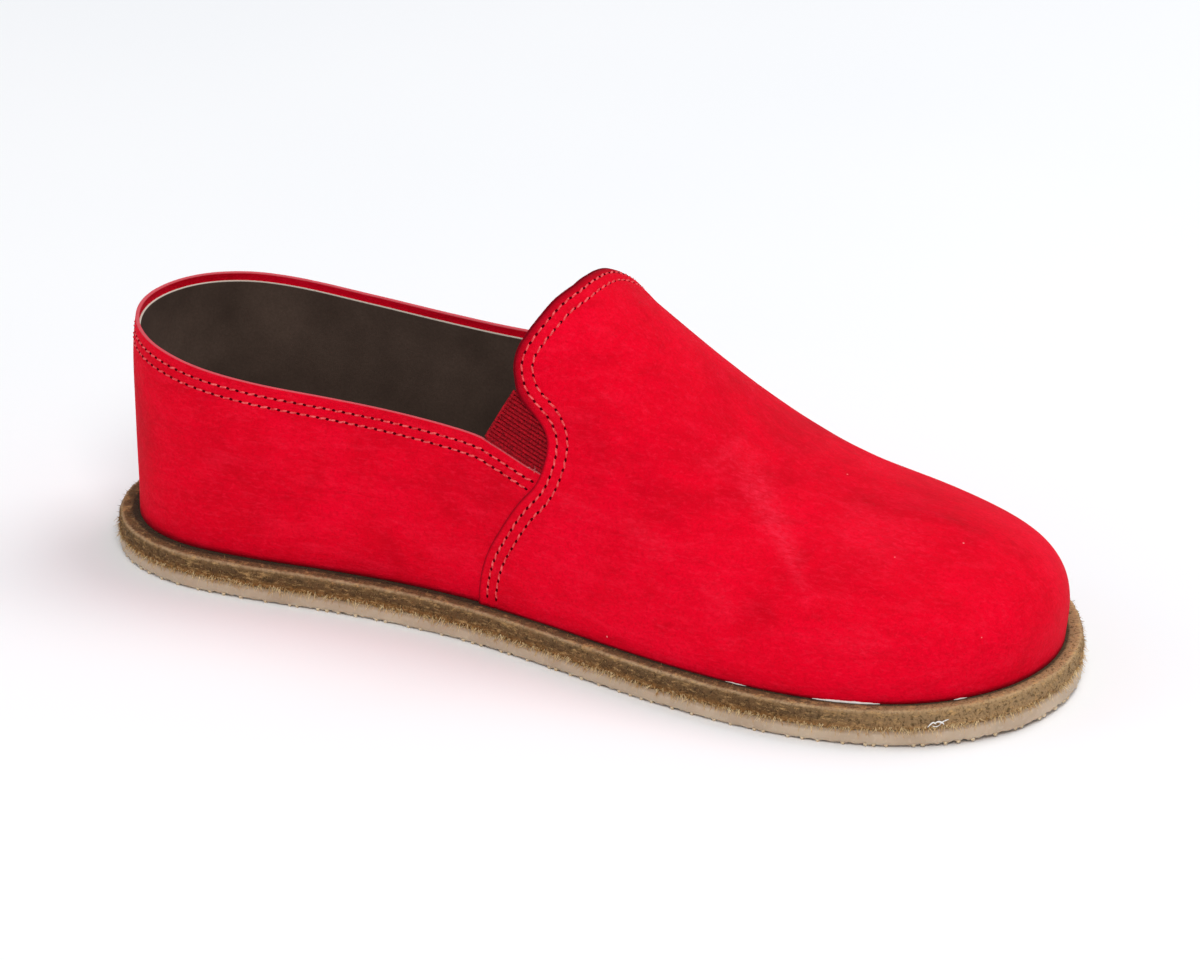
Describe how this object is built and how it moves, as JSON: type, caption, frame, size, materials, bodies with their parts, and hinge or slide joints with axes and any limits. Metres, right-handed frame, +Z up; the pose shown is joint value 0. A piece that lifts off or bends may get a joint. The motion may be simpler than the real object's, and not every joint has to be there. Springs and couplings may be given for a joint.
{
  "type": "slip-on shoe",
  "caption": "Left slip-on shoe in soft leather: high rounded vamp, elastic side gores, low heel quarter, leather midsole with a projecting edge, thin flexible rubber outsole.",
  "frame": {"origin": "middle of the sole on the floor, below the centre of the bounding box", "axes": "+X from heel to toe, +Y to the outer side of this left shoe, +Z up"},
  "size_m": [0.2524, 0.1104, 0.0843],
  "materials": {
    "upper_leather": "matt nubuck with a soft nap",
    "elastic": "fine ribbed elastic",
    "lining": "smooth natural lining leather",
    "sole_leather": "rough cut edge with napped fibres",
    "sole_rubber": "translucent gum rubber with small raised dots"
  },
  "bodies": {
    "root": {"upper": "upper_leather", "gore_inner": "elastic", "gore_outer": "elastic", "insole": "lining", "midsole": "sole_leather", "outsole": "sole_rubber"}
  },
  "joints": []
}
